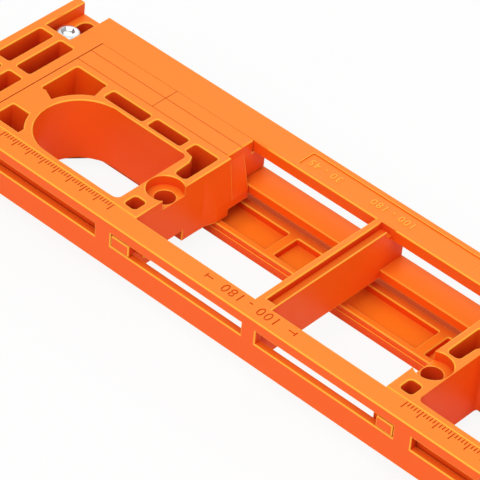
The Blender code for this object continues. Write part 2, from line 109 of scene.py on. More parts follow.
# %% [markdown]
# Camera
#
# The photograph looks down on the left half of the template with a long lens, so the edges stay
# almost parallel. The camera stands far away with a narrow view and leans a little to one side.

# %% Camera
bpy.ops.object.camera_add(
    location=(0.3987, -0.51115, 0.5786),
    rotation=[math.radians(angle) for angle in (49.4254, -3.8292, 43.1201)],
)
camera = bpy.context.object
camera.data.lens = 252.76
camera.data.sensor_width = 36.0
camera.data.clip_start = 0.01
bpy.context.scene.camera = camera
bpy.context.scene.view_settings.view_transform = "Standard"
print("camera looks along", tuple(camera.matrix_world.to_quaternion() @ Vector((0, 0, -1))))

# %% [markdown]
# Light
#
# A plain studio: an even white sky, a wide soft lamp over the camera's left shoulder, and weaker
# ones from the far side and the right, so that no wall goes dull. The sky is pure white only
# where the camera or a reflection looks at it. Sky and materials are made of nodes, so a small
# helper that adds and joins them comes first.

# %% A small helper for nodes
def fill_socket(tree, socket, value):
    """Gives a socket a value, or links it to the output that makes one."""
    if isinstance(value, bpy.types.NodeSocket):
        tree.links.new(value, socket)
    else:
        socket.default_value = value


def add_node(tree, kind, settings=None, **inputs):
    """Adds one node. Inputs are given by name, or by place as i0, i1 and so on."""
    made = tree.nodes.new(kind)
    for key, value in (settings or {}).items():
        setattr(made, key, value)
    for key, value in inputs.items():
        by_place = key[0] == "i" and key[1:].isdigit()
        fill_socket(tree, made.inputs[int(key[1:]) if by_place else key.replace("_", " ")], value)
    return made


# %% Sky and lamps
SKY_LIGHT = 0.50
SKY_SEEN = 1.0

world = bpy.context.scene.world or bpy.data.worlds.new("studio")
bpy.context.scene.world = world
world.use_nodes = True
sky = world.node_tree
background = sky.nodes["Background"]
background.inputs["Color"].default_value = (1.0, 1.0, 1.0, 1.0)
rays = add_node(sky, "ShaderNodeLightPath")
seen = add_node(sky, "ShaderNodeMath", {"operation": "MAXIMUM"},
                i0=rays.outputs["Is Camera Ray"], i1=rays.outputs["Is Glossy Ray"])
strength = add_node(sky, "ShaderNodeMapRange", Value=seen.outputs[0], To_Min=SKY_LIGHT, To_Max=SKY_SEEN)
sky.links.new(strength.outputs["Result"], background.inputs["Strength"])


def lamp(name, place, size, watts):
    """Adds a square soft lamp that looks at the middle of the template."""
    aim = (Vector((0, 0, 0)) - Vector(place)).to_track_quat("-Z", "Y").to_euler()
    bpy.ops.object.light_add(type="AREA", location=place, rotation=aim)
    made = bpy.context.object
    made.name = name
    made.data.size = size
    made.data.energy = watts
    return made


lamp("lamp_over_camera", (0.05, -0.75, 1.05), 0.9, 9.0)
lamp("lamp_far_side", (-0.5, 0.9, 0.8), 0.7, 2.0)
lamp("lamp_right_side", (1.0, 0.0, 0.6), 0.8, 3.0)

# %% [markdown]
# Floor
#
# The floor is nearly white and keeps a soft shadow. A share of plain white shows to the camera,
# and a smaller one in reflections, so that the floor stays pale without lighting the object.

# %% Floor
FLOOR_DROP = 0.2 * MM
WHITE_TO_CAMERA = 0.9
WHITE_IN_REFLECTIONS = 0.3

bpy.ops.mesh.primitive_plane_add(size=6.0, location=(0, 0, cad_low.z - FLOOR_DROP))
floor = bpy.context.object
floor.name = "floor"
paper = bpy.data.materials.new("floor_paper")
paper.use_nodes = True
tree = paper.node_tree
shader = tree.nodes["Principled BSDF"]
shader.inputs["Base Color"].default_value = (0.86, 0.86, 0.86, 1.0)
shader.inputs["Roughness"].default_value = 0.9
rays = add_node(tree, "ShaderNodeLightPath")
to_camera = add_node(tree, "ShaderNodeMath", {"operation": "MULTIPLY"},
                     i0=rays.outputs["Is Camera Ray"], i1=WHITE_TO_CAMERA)
mirrored = add_node(tree, "ShaderNodeMath", {"operation": "MULTIPLY"},
                    i0=rays.outputs["Is Glossy Ray"], i1=WHITE_IN_REFLECTIONS)
share = add_node(tree, "ShaderNodeMath", {"operation": "MAXIMUM"},
                 i0=to_camera.outputs[0], i1=mirrored.outputs[0])
white = add_node(tree, "ShaderNodeEmission")
blend = add_node(tree, "ShaderNodeMixShader",
                 i0=share.outputs[0], i1=shader.outputs[0], i2=white.outputs[0])
tree.links.new(blend.outputs[0], tree.nodes["Material Output"].inputs["Surface"])
floor.data.materials.append(paper)
print("floor at", floor.location.z)

# %% [markdown]
# Shared effects
#
# Plastic and steel both have a fine grain, and both get painted shade in hollows and a painted tone on
# marked edges: a highlight on plastic, shade on steel.
# Each effect is a node group: built once, and placed in each material with its own values.

# %% Starting a node group
def new_group(name, inputs, outputs):
    """Starts a node group. Inputs and outputs are name and kind, and inputs have a default."""
    group = bpy.data.node_groups.new(name, "ShaderNodeTree")
    for label, kind, default in inputs:
        socket = group.interface.new_socket(label, in_out="INPUT", socket_type=kind)
        socket.default_value = default
    for label, kind in outputs:
        group.interface.new_socket(label, in_out="OUTPUT", socket_type=kind)
    return group, group.nodes.new("NodeGroupInput"), group.nodes.new("NodeGroupOutput")


# %% Grain: a fine bump and a slow drift of tone
grain_group, given, result = new_group(
    "surface grain",
    [("Grain Size", "NodeSocketFloat", 4000.0), ("Drift Size", "NodeSocketFloat", 45.0)],
    [("Height", "NodeSocketFloat"), ("Drift", "NodeSocketFloat"), ("Speckle", "NodeSocketFloat")],
)
place = add_node(grain_group, "ShaderNodeTexCoord")
fine = add_node(grain_group, "ShaderNodeTexNoise", Vector=place.outputs["Object"],
                Scale=given.outputs["Grain Size"], Detail=3.0, Roughness=0.6)
slow = add_node(grain_group, "ShaderNodeTexNoise", Vector=place.outputs["Object"],
                Scale=given.outputs["Drift Size"], Detail=2.0, Roughness=0.5)
grain_group.links.new(fine.outputs["Fac"], result.inputs["Height"])
grain_group.links.new(slow.outputs["Fac"], result.inputs["Drift"])
spots = add_node(grain_group, "ShaderNodeMapRange", Value=fine.outputs["Fac"],
                 From_Min=0.35, From_Max=0.65)
grain_group.links.new(spots.outputs["Result"], result.inputs["Speckle"])

# %% Edges and hollows: masks for painted light, where an edge is rounded and how deep a place lies
painted_light_group, given, result = new_group(
    "painted edge light and hollow shade",
    [("Hollow Depth", "NodeSocketFloat", 0.006)],
    [("Edge", "NodeSocketFloat"), ("Hollow", "NodeSocketFloat")],
)
rounded = add_node(painted_light_group, "ShaderNodeAttribute", {"attribute_name": "rounded"})
deep = add_node(painted_light_group, "ShaderNodeAmbientOcclusion", {"samples": 8},
                Distance=given.outputs["Hollow Depth"])
# Hollow is the mask for painted shade: it grows where a place lies deep among other faces.
hollow = add_node(painted_light_group, "ShaderNodeMapRange", Value=deep.outputs["AO"],
                  From_Min=0.85, From_Max=0.25)
painted_light_group.links.new(rounded.outputs["Fac"], result.inputs["Edge"])
painted_light_group.links.new(hollow.outputs["Result"], result.inputs["Hollow"])
print("groups:", [group.name for group in bpy.data.node_groups])

# %% [markdown]
# Moulded plastic
#
# The plastic is a warm orange. Painted shade turns it deep red inside narrow pockets, and a
# painted highlight draws a yellow line on rounded edges. Faces that look up are painted a little
# lighter than the walls, as painted top light. All of this is mixed into the colour, and the grain
# goes to a bump.

# %% Orange plastic
def mix_colour(tree, amount, first, second):
    """Mixes two colours by an amount from 0 to 1."""
    mixed = add_node(tree, "ShaderNodeMix", {"data_type": "RGBA"}, i0=amount, i6=first, i7=second)
    return mixed.outputs[2]


def times(tree, value, factor):
    """Multiplies a mask by a number."""
    product = add_node(tree, "ShaderNodeMath", {"operation": "MULTIPLY"}, i0=value, i1=factor)
    return product.outputs[0]


def start_material(name, grain_size, drift_size, hollow_depth):
    """A material with its shader and the two shared effects."""
    made = bpy.data.materials.new(name)
    made.use_nodes = True
    tree = made.node_tree
    grain = add_node(tree, "ShaderNodeGroup", {"node_tree": grain_group},
                     Grain_Size=grain_size, Drift_Size=drift_size)
    edges = add_node(tree, "ShaderNodeGroup", {"node_tree": painted_light_group}, Hollow_Depth=hollow_depth)
    return made, tree, tree.nodes["Principled BSDF"], grain, edges


# Painted light: the tops are a lighter orange than the walls, as light from above.
WALL_PAINTED_SHADE_ORANGE = (0.96, 0.112, 0.004, 1)
TOP_PAINTED_LIGHT_ORANGE = (1.0, 0.245, 0.014, 1)
# Painted shade: the deep red of narrow pockets.
HOLLOW_PAINTED_SHADE_RED = (0.62, 0.020, 0.001, 1)
# Painted highlight on rounded edges.
EDGE_PAINTED_HIGHLIGHT_YELLOW = (1.0, 0.52, 0.050, 1)
DRIFT_ORANGE = (0.86, 0.15, 0.012, 1)


def orange_plastic(name, drift_size):
    """The template's plastic, with its own slow drift of tone."""
    made, tree, shader, grain, edges = start_material(name, 5200.0, drift_size, 8.0 * MM)
    place = add_node(tree, "ShaderNodeTexCoord")
    split = add_node(tree, "ShaderNodeSeparateXYZ", Vector=place.outputs["Normal"])
    # Painted top light: the more a face looks up, the lighter its orange.
    painted_top_light = add_node(tree, "ShaderNodeMapRange", Value=split.outputs["Z"], From_Min=0.3, From_Max=0.95)
    colour = mix_colour(tree, painted_top_light.outputs["Result"], WALL_PAINTED_SHADE_ORANGE, TOP_PAINTED_LIGHT_ORANGE)
    # Painted shade: deep red where a place lies deep in a hollow.
    colour = mix_colour(tree, times(tree, edges.outputs["Hollow"], 0.75), colour, HOLLOW_PAINTED_SHADE_RED)
    # Painted highlight: a yellow line on rounded edges and on the sides of raised numbers.
    colour = mix_colour(tree, times(tree, edges.outputs["Edge"], 0.9), colour, EDGE_PAINTED_HIGHLIGHT_YELLOW)
    colour = mix_colour(tree, times(tree, grain.outputs["Drift"], 0.12), colour, DRIFT_ORANGE)
    tree.links.new(colour, shader.inputs["Base Color"])
    rough = add_node(tree, "ShaderNodeMapRange", Value=grain.outputs["Speckle"],
                     To_Min=0.34, To_Max=0.46)
    dull = add_node(tree, "ShaderNodeMath", {"operation": "MULTIPLY_ADD"},
                    i0=edges.outputs["Hollow"], i1=0.35, i2=rough.outputs["Result"])
    tree.links.new(dull.outputs[0], shader.inputs["Roughness"])
    bump = add_node(tree, "ShaderNodeBump", Strength=0.12, Distance=0.03 * MM,
                    Height=grain.outputs["Height"])
    tree.links.new(bump.outputs["Normal"], shader.inputs["Normal"])
    shader.inputs["Specular IOR Level"].default_value = 0.2
    return made


frame_plastic = orange_plastic("frame_plastic", 38.0)
slider_plastic = orange_plastic("slider_plastic", 52.0)
fence_plastic = orange_plastic("fence_plastic", 30.0)

# %% [markdown]
# Bright steel
#
# The screws and nuts are zinc plated: bright and slightly cloudy, with painted shade in their
# recesses. They have no rounded edges of their own, so the edge mask is free to mark the walls of
# the socket, which are painted almost black as painted shade.

# %% Steel
# Painted shade: dark grey in hollows, and near black on the socket's walls.
HOLLOW_PAINTED_SHADE_GREY = (0.04, 0.04, 0.045, 1)
CLOUD_GREY = (0.50, 0.51, 0.53, 1)
SOCKET_PAINTED_SHADE_BLACK = (0.03, 0.03, 0.035, 1)


def bright_steel(name, tint):
    """Plated steel with a cloudy shine."""
    made, tree, shader, grain, edges = start_material(name, 2500.0, 700.0, 1.6 * MM)
    shader.inputs["Metallic"].default_value = 1.0
    # Painted shade in the hollows of the steel.
    colour = mix_colour(tree, times(tree, edges.outputs["Hollow"], 0.95), tint, HOLLOW_PAINTED_SHADE_GREY)
    colour = mix_colour(tree, times(tree, grain.outputs["Drift"], 0.25), colour, CLOUD_GREY)
    # Painted shade: the socket's marked walls are mixed almost to black.
    colour = mix_colour(tree, times(tree, edges.outputs["Edge"], 0.95), colour, SOCKET_PAINTED_SHADE_BLACK)
    tree.links.new(colour, shader.inputs["Base Color"])
    rough = add_node(tree, "ShaderNodeMapRange", Value=grain.outputs["Drift"],
                     To_Min=0.26, To_Max=0.38)
    tree.links.new(rough.outputs["Result"], shader.inputs["Roughness"])
    bump = add_node(tree, "ShaderNodeBump", Strength=0.03, Distance=0.01 * MM,
                    Height=grain.outputs["Height"])
    tree.links.new(bump.outputs["Normal"], shader.inputs["Normal"])
    return made


screw_steel = bright_steel("screw_steel", (0.74, 0.75, 0.77, 1))
nut_steel = bright_steel("nut_steel", (0.66, 0.66, 0.68, 1))
print("materials:", [material.name for material in bpy.data.materials])

# %% [markdown]
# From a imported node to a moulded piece
#
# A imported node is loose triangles. A copy of it is merged into whole faces, and its outer edges
# are then rounded, as they are on anything that comes out of a mould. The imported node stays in
# the scene, hidden, and the copy stands for it.

# %% Helpers for pieces
def only(item=None):
    """Selects one object, or none, and leaves edit mode."""
    if bpy.context.object and bpy.context.object.mode != "OBJECT":
        bpy.ops.object.mode_set(mode="OBJECT")
    bpy.ops.object.select_all(action="DESELECT")
    if item:
        item.select_set(True)
        bpy.context.view_layer.objects.active = item


def apply_modifier(item, kind, **settings):
    """Adds a modifier with these settings and applies it."""
    only(item)
    modifier = item.modifiers.new(kind.lower(), kind)
    for key, value in settings.items():
        setattr(modifier, key, value)
    bpy.ops.object.modifier_apply(modifier=modifier.name)
    return item


def merged_copy(node, name):
    """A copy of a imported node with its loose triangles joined."""
    only(nodes[node])
    bpy.ops.object.duplicate()
    piece = bpy.context.object
    piece.name = name
    piece.data.name = name
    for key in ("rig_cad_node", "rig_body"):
        del piece[key]
    bpy.ops.object.mode_set(mode="EDIT")
    bpy.ops.mesh.select_all(action="SELECT")
    bpy.ops.mesh.remove_doubles(threshold=0.02 * MM)
    bpy.ops.object.mode_set(mode="OBJECT")
    return piece


# %% [markdown]
# Straight cuts
#
# A bevel goes wrong where a long thin triangle meets an edge at a flat angle. So each level of
# the piece is first cut straight across, always between its corners, and the triangles are then
# dissolved into whole faces that stop at those cuts.

# %% Cutting each level straight across
CORNER_MARGIN = 0.5 * MM
END_MARGIN = 0.8 * MM
CUT_PITCH = 6.0 * MM
CUT_STEP = 0.1 * MM
FEW_TRIANGLES = 8
SAME_PLANE = 0.002 * MM
FLAT_ENOUGH = math.radians(0.6)


def faces_on(shape, normal, offset):
    """The faces of a mesh that lie in one plane."""
    return [face for face in shape.faces
            if face.normal.dot(normal) > 0.9999
            and abs(face.verts[0].co.dot(normal) - offset) < SAME_PLANE]


def cut_places(faces, axis):
    """Places along an axis where only edges that run along that axis are crossed."""
    level = set(faces)
    rim = {edge for face in faces for edge in face.edges
           if sum(other in level for other in edge.link_faces) == 1}
    ends = np.array([[vertex.co[:] for vertex in edge.verts] for edge in rim])
    low, high = ends[:, :, axis].min(axis=1), ends[:, :, axis].max(axis=1)
    across = (high - low) < 0.9 * np.linalg.norm(ends[:, 1] - ends[:, 0], axis=1)
    places = np.arange(low.min() + END_MARGIN, high.max() - END_MARGIN, CUT_STEP)
    free = [not (across & (low < x + CORNER_MARGIN) & (high > x - CORNER_MARGIN)).any() for x in places]
    runs, start = [], None
    for i, is_free in enumerate(free + [False]):
        if is_free and start is None:
            start = i
        elif not is_free and start is not None:
            span = places[i - 1] - places[start]
            count = max(1, round(span / CUT_PITCH))
            runs += [places[start] + span * (k + 0.5) / count for k in range(count)]
            start = None
    return runs


def cut_levels(piece):
    """Cuts each level of a piece straight across, and dissolves its triangles."""
    shape = bmesh.new()
    shape.from_mesh(piece.data)
    shape.normal_update()
    levels = {}
    for face in shape.faces:
        if face.calc_area() > 0.01 * MM * MM:
            offset = face.verts[0].co.dot(face.normal)
            key = tuple(round(value, 3) for value in face.normal) + (round(offset, 5),)
            levels.setdefault(key, [0, face.normal.copy(), offset])[0] += 1
    cuts = 0
    for count, normal, offset in levels.values():
        axes = [axis for axis in range(3) if abs(normal[axis]) < 0.3]
        if count < FEW_TRIANGLES or len(axes) < 2:
            continue
        for axis in axes:
            for place in cut_places(faces_on(shape, normal, offset), axis):
                faces = faces_on(shape, normal, offset)
                region = {vertex for face in faces for vertex in face.verts}
                region |= {edge for face in faces for edge in face.edges}
                point, across = Vector(), Vector()
                point[axis], across[axis] = place, 1.0
                made = bmesh.ops.bisect_plane(shape, geom=list(region) + faces, dist=1e-7,
                                              plane_co=point, plane_no=across)
                for item in made["geom_cut"]:
                    if isinstance(item, bmesh.types.BMEdge):
                        item.seam = True
                cuts += 1
    shape.to_mesh(piece.data)
    shape.free()
    only(piece)
    bpy.ops.object.mode_set(mode="EDIT")
    bpy.ops.mesh.select_all(action="SELECT")
    bpy.ops.mesh.dissolve_limited(angle_limit=FLAT_ENOUGH, delimit={"SEAM"})
    bpy.ops.mesh.mark_seam(clear=True)
    bpy.ops.object.mode_set(mode="OBJECT")
    print(piece.name, "was cut", cuts, "times into", len(piece.data.polygons), "faces")


# %% [markdown]
# Rounded edges
#
# Only outer edges are rounded. An edge gets the whole width where both of its faces have room
# for it, and less where one of them is narrow, such as beside the fine step of the label panel.

# %% Rounding the outer edges
EDGE_ROUND = 0.35 * MM
OUTER_ABOVE = math.radians(30)
SHARE_OF_ROOM = 0.42
ROUNDED = 1
GOES = 12
EASE_REACH = 0.8 * MM
EASE = 0.6


def room_across(face, edge):
    """The shortest way across a face, measured square to one of its edges."""
    start, end = (vertex.co for vertex in edge.verts)
    along = (end - start).normalized()
    loop = next(loop for loop in edge.link_loops if loop.face == face)
    turn = 1.0 if loop.vert == edge.verts[0] else -1.0
    inward = face.normal.cross(along) * turn
    here = np.array([[(vertex.co - start).dot(along), (vertex.co - start).dot(inward)]
                     for vertex in face.verts])
    there = np.roll(here, -1, axis=0)
    room = 1.0
    for part in (0.02, 0.5, 0.98):
        spot = part * (end - start).length
        low, high = np.minimum(here[:, 0], there[:, 0]), np.maximum(here[:, 0], there[:, 0])
        met = (low < spot) & (high > spot)
        first, last = here[met], there[met]
        part_way = (spot - first[:, 0]) / (last[:, 0] - first[:, 0])
        reach = first[:, 1] + (last[:, 1] - first[:, 1]) * part_way
        reach = reach[reach > 0.001 * MM]
        if len(reach):
            room = min(room, reach.min())
    return room


def folded_places(mesh):
    """Corners of triangles that face against their own face, where a rounding ran too wide."""
    mesh.calc_loop_triangles()
    corners = np.empty(len(mesh.loop_triangles) * 3, dtype=int)
    mesh.loop_triangles.foreach_get("vertices", corners)
    owners = np.empty(len(mesh.loop_triangles), dtype=int)
    mesh.loop_triangles.foreach_get("polygon_index", owners)
    places = np.empty(len(mesh.vertices) * 3)
    mesh.vertices.foreach_get("co", places)
    normals = np.empty(len(mesh.polygons) * 3)
    mesh.polygons.foreach_get("normal", normals)
    points = places.reshape(-1, 3)[corners.reshape(-1, 3)]
    turns = np.cross(points[:, 1] - points[:, 0], points[:, 2] - points[:, 0])
    wrong = (turns * normals.reshape(-1, 3)[owners]).sum(axis=1) < -1e-6 * MM * MM
    return points[wrong].reshape(-1, 3)


def ease_near(mesh, places):
    """Rounds less on the edges that pass close to these places."""
    shape = bmesh.new()
    shape.from_mesh(mesh)
    weight = shape.edges.layers.float.get("bevel_weight_edge")
    for edge in shape.edges:
        if edge[weight] > 0:
            start = np.array(edge.verts[0].co)
            along = np.array(edge.verts[1].co) - start
            part = np.clip((places - start) @ along / (along @ along), 0.0, 1.0)
            nearest = start + part[:, None] * along
            if np.linalg.norm(places - nearest, axis=1).min() < EASE_REACH:
                edge[weight] *= EASE
    shape.to_mesh(mesh)
    shape.free()


def give_slots(piece):
    """Makes sure that a piece has a material slot for rounded faces."""
    while len(piece.data.materials) <= ROUNDED:
        piece.data.materials.append(None)


def round_edges(piece, keep_square=None):
    """Rounds each outer edge by as much as its faces have room for, and less where it would fold."""
    give_slots(piece)
    shape = bmesh.new()
    shape.from_mesh(piece.data)
    shape.normal_update()
    weight = shape.edges.layers.float.new("bevel_weight_edge")
    for edge in shape.edges:
        if edge.is_manifold and edge.calc_face_angle_signed() > OUTER_ABOVE:
            middle = (edge.verts[0].co + edge.verts[1].co) / 2
            if keep_square and keep_square(middle):
                continue
            room = min(room_across(face, edge) for face in edge.link_faces)
            edge[weight] = min(1.0, SHARE_OF_ROOM * room / EDGE_ROUND)
    shape.to_mesh(piece.data)
    shape.free()
    square = piece.data
    for attempt in range(GOES):
        piece.data = square.copy()
        apply_modifier(piece, "BEVEL", width=EDGE_ROUND, segments=3, limit_method="WEIGHT",
                       use_clamp_overlap=False, material=ROUNDED)
        folded = folded_places(piece.data)
        if not len(folded):
            break
        ease_near(square, folded)
    print(piece.name, "was rounded in", attempt + 1, "goes, folds left:", len(folded) // 3)


def engrave(piece, tool):
    """Cuts a tool out of a piece and removes the tool."""
    apply_modifier(piece, "BOOLEAN", object=tool, operation="DIFFERENCE", solver="EXACT")
    bpy.data.objects.remove(tool)


def raise_on(piece, tool):
    """Joins a tool to a piece and removes the tool."""
    apply_modifier(piece, "BOOLEAN", object=tool, operation="UNION", solver="EXACT")
    bpy.data.objects.remove(tool)


# %% [markdown]
# Shading
#
# A rounded edge should shade softly and a flat face should stay flat. So the two rims of each
# rounded edge are kept sharp, and so is a crease between two wide faces, however shallow it is.
# The imported node's own normals belong to its loose triangles, so they are cleared first.
# Each rounded face also writes a mask into the mesh, from which the materials paint a highlight on
# rounded edges and shade on the socket's walls.

# %% Shading, and what a finished piece gets
FACET_WIDTH = 2.0 * MM
SMOOTH_BELOW = math.radians(40)
CREASE_ABOVE = math.radians(2)
ROUND_RIM = 0.5


def crease_flat_faces(piece):
    """Keeps creases between wide flat faces sharp, and the rims of rounded edges too."""
    shape = bmesh.new()
    shape.from_mesh(piece.data)
    wide = set()
    for face in shape.faces:
        longest = max(edge.calc_length() for edge in face.edges)
        if face.material_index != ROUNDED and face.calc_area() > FACET_WIDTH * longest:
            wide.add(face)
    for edge in shape.edges:
        if edge.is_manifold:
            kinds = {face.material_index == ROUNDED for face in edge.link_faces}
            both_wide = all(face in wide for face in edge.link_faces)
            if len(kinds) == 2 or (both_wide and edge.calc_face_angle() > CREASE_ABOVE):
                edge.smooth = False
    shape.to_mesh(piece.data)
    shape.free()


def mark_rounded(piece):
    """Writes 1 inside a rounded edge, less along its two rims, and 0 elsewhere."""
    mesh = piece.data
    rounded = np.array([polygon.material_index == ROUNDED for polygon in mesh.polygons])
    sides = [polygon.loop_total for polygon in mesh.polygons]
    owner = np.repeat(np.arange(len(mesh.polygons)), sides)
    vertex = np.empty(len(mesh.loops), dtype=int)
    mesh.loops.foreach_get("vertex_index", vertex)
    on_flat = np.zeros(len(mesh.vertices), dtype=bool)
    on_flat[vertex[~rounded[owner]]] = True
    # These values are the mask for the painted edge highlight, and for the socket's painted shade.
    values = np.where(rounded[owner], np.where(on_flat[vertex], ROUND_RIM, 1.0), 0.0)
    mask = mesh.attributes.new("rounded", "FLOAT", "CORNER")
    mask.data.foreach_set("value", values.astype(np.float32))


def finish_piece(piece, body, node, material):
    """Shades a piece, gives it its material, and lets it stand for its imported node."""
    only(piece)
    bpy.ops.mesh.customdata_custom_splitnormals_clear()
    bpy.ops.object.shade_smooth_by_angle(angle=SMOOTH_BELOW)
    crease_flat_faces(piece)
    mark_rounded(piece)
    piece.data.materials.clear()
    piece.data.materials.append(material)
    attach(piece, body)
    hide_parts(node)
    print(piece.name, len(piece.data.polygons), "faces")


# %% [markdown]
# Simple tools
#
# A plain block fills or cuts, and a wedge cuts a groove that is wider at the mouth than at the
# bottom, as a mould's engraving always is. Both are placed in millimetres on the template.

# %% Blocks, wedges, and choosing points by their place
TOP_Z = 15.0
WEDGE_TAPER = 0.192


def select_where(piece, test):
    """Opens a piece in edit mode with only those points selected that pass a test."""
    only(piece)
    bpy.ops.object.mode_set(mode="EDIT")
    bpy.ops.mesh.select_mode(type="VERT")
    bpy.ops.mesh.select_all(action="DESELECT")
    bpy.ops.object.mode_set(mode="OBJECT")
    for vertex in piece.data.vertices:
        vertex.select = test(vertex.co)
    bpy.ops.object.mode_set(mode="EDIT")


def block(low, high):
    """A block between two places on the template, in millimetres."""
    only()
    bpy.ops.mesh.primitive_cube_add(size=1.0, location=(at(*low) + at(*high)) / 2,
                                    scale=at(*high) - at(*low))
    made = bpy.context.object
    bpy.ops.object.transform_apply(location=True, rotation=True, scale=True)
    for vertex in made.data.vertices:
        if abs(vertex.co.z - TOP) < 0.001 * MM:
            vertex.co.z = TOP
    return made


def wedge(x, y, along_x, along_y, depth):
    """A block in the top around one place, narrower below, in millimetres."""
    made = block((x - along_x / 2, y - along_y / 2, TOP_Z - depth),
                 (x + along_x / 2, y + along_y / 2, TOP_Z + depth))
    select_where(made, lambda place: place.z < TOP)
    narrower = (1 - WEDGE_TAPER / along_x, 1 - WEDGE_TAPER / along_y, 1.0)
    bpy.ops.transform.resize(value=narrower, center_override=at(x, y, TOP_Z))
    bpy.ops.object.mode_set(mode="OBJECT")
    return made


def row_of(tool, count, pitch):
    """Repeats a tool along X."""
    return apply_modifier(tool, "ARRAY", count=count, use_relative_offset=False,
                          use_constant_offset=True, constant_offset_displace=(pitch * MM, 0.0, 0.0))


# %% [markdown]
# Numbers
#
# The near rail carries the range of the template, as plain numbers between two measuring marks,
# and the panel on the far rail carries its ranges as raised numbers. All are read from the far
# side. Text is made a mesh and given depth, and then it is cut in or joined on.

# %% A number as a cutting tool or a raised figure
CAP_HEIGHT = 0.69
LETTER_SPACING = 1.15


def close_up():
    """Joins doubled points, turns faces outward, and leaves edit mode."""
    bpy.ops.mesh.select_all(action="SELECT")
    bpy.ops.mesh.remove_doubles(threshold=0.002 * MM)
    bpy.ops.mesh.normals_make_consistent(inside=False)
    bpy.ops.object.mode_set(mode="OBJECT")


def number(text, x, y, z, height, depth):
    """Upright text of this height, read from the far side, from z - depth to z + depth."""
    only()
    bpy.ops.object.text_add(location=(0, 0, 0))
    made = bpy.context.object
    made.data.body = text
    made.data.size = height / CAP_HEIGHT * MM
    made.data.extrude = depth * MM
    made.data.align_x = "CENTER"
    made.data.align_y = "CENTER"
    made.data.space_character = LETTER_SPACING
    made.data.resolution_u = 4
    bpy.ops.object.convert(target="MESH")
    made = bpy.context.object
    made.rotation_euler = (0.0, 0.0, math.pi)
    made.location = at(x, y, z)
    bpy.ops.object.transform_apply(location=True, rotation=True, scale=True)
    bpy.ops.object.mode_set(mode="EDIT")
    close_up()
    return made


# %% [markdown]
# Frame
#
# The crossbar's top has a wide rim on the left, a shallow groove, and a thin lip on the right
# that stops short of the far rail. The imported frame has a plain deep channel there, so the copy
# is filled and cut again. Then the frame is rounded, and engraved last, so that the rulers keep
# their crisp edges.

# %% The frame's moulding
FILL_LOW = (-0.2, 7.5, 3.0)
FILL_HIGH = (4.3, 51.5, TOP_Z)
FAR_RAIL_EDGE = 52.1
GROOVE_LEFT = 1.2
GROOVE_RIGHT = 4.4
GROOVE_NEAR = 8.5
GROOVE_FLOOR = 12.7
LIP_FAR = 50.0
CROSSBAR_RIGHT = 4.9
SLIDER_INNER = 40.0
END_PLATE_EDGE = 100.1
NEAR_ENOUGH = 0.1


def square_on_frame(place):
    """Edges that stay square: those along a slider, and the small ones at the lip's far end."""
    x, y = place.x / MM, (place.y - at(0, 0).y) / MM
    along_far = abs(y - FAR_RAIL_EDGE) < NEAR_ENOUGH and abs(x) > SLIDER_INNER
    along_end = abs(abs(x) - END_PLATE_EDGE) < NEAR_ENOUGH
    beyond_lip = LIP_FAR - NEAR_ENOUGH < y < FAR_RAIL_EDGE + NEAR_ENOUGH
    at_lip = beyond_lip and 0.0 < x < CROSSBAR_RIGHT + NEAR_ENOUGH
    return place.z > TOP - 3.0 * MM and (along_far or along_end or at_lip)


frame_piece = merged_copy("frame", "frame_moulding")
raise_on(frame_piece, block(FILL_LOW, FILL_HIGH))
select_where(frame_piece, lambda place: place.z > TOP - 0.01 * MM)
bpy.ops.mesh.remove_doubles(threshold=0.005 * MM)
bpy.ops.object.mode_set(mode="OBJECT")
engrave(frame_piece, block((GROOVE_LEFT, GROOVE_NEAR, GROOVE_FLOOR),
                           (GROOVE_RIGHT, FAR_RAIL_EDGE, TOP_Z + 1)))
engrave(frame_piece, block((GROOVE_RIGHT - 1, LIP_FAR, GROOVE_FLOOR),
                           (CROSSBAR_RIGHT + 1, FAR_RAIL_EDGE, TOP_Z + 1)))
cut_levels(frame_piece)
round_edges(frame_piece, keep_square=square_on_frame)

# %% Rulers and numbers
TICK_WIDTH = 0.45
TICK_DEPTH = 0.30
TICK_END = 7.4
RULER_STARTS = (-90.0, 50.0)
SHORT_TICKS = (4.7, 41, 1.0)
LONG_TICKS = (3.3, 9, 5.0)
NUMBER_LINE = 3.9
NUMBER_HEIGHT = 3.0
MARKS = ((14.1, 2.6, TICK_WIDTH), (15.1, TICK_WIDTH, 1.8))
PANEL_LINE = 57.0
PANEL_FLOOR = 14.6
PANEL_NUMBER_HEIGHT = 2.3
PANEL_NUMBER_PROUD = 0.16


def with_marked_sides(tool):
    """Lets the sides of a tool count as rounded, so that the material paints them: a painted highlight
    on plastic, painted shade on steel.
    """
    give_slots(tool)
    for face in tool.data.polygons:
        face.material_index = ROUNDED if abs(face.normal.z) < 0.9 else 0
    return tool


for first in RULER_STARTS:
    for near, count, pitch in (SHORT_TICKS, LONG_TICKS):
        tick = wedge(first, (near + TICK_END) / 2, TICK_WIDTH, TICK_END - near, TICK_DEPTH)
        engrave(frame_piece, row_of(tick, count, pitch))
for text, x in (("180", -5.9), ("-", -0.1), ("100", 6.2)):
    engrave(frame_piece, number(text, x, NUMBER_LINE, TOP_Z, NUMBER_HEIGHT, TICK_DEPTH))
for side in (-1, 1):
    for x, along_x, along_y in MARKS:
        engrave(frame_piece, wedge(side * x, NUMBER_LINE, along_x, along_y, TICK_DEPTH))
for text, x in (("100 - 180", 1.0), ("30 - 45", -22.5)):
    raised = number(text, x, PANEL_LINE, PANEL_FLOOR, PANEL_NUMBER_HEIGHT, PANEL_NUMBER_PROUD)
    # The sides of the raised numbers get the painted edge highlight.
    raise_on(frame_piece, with_marked_sides(raised))
finish_piece(frame_piece, "frame", "frame", frame_plastic)

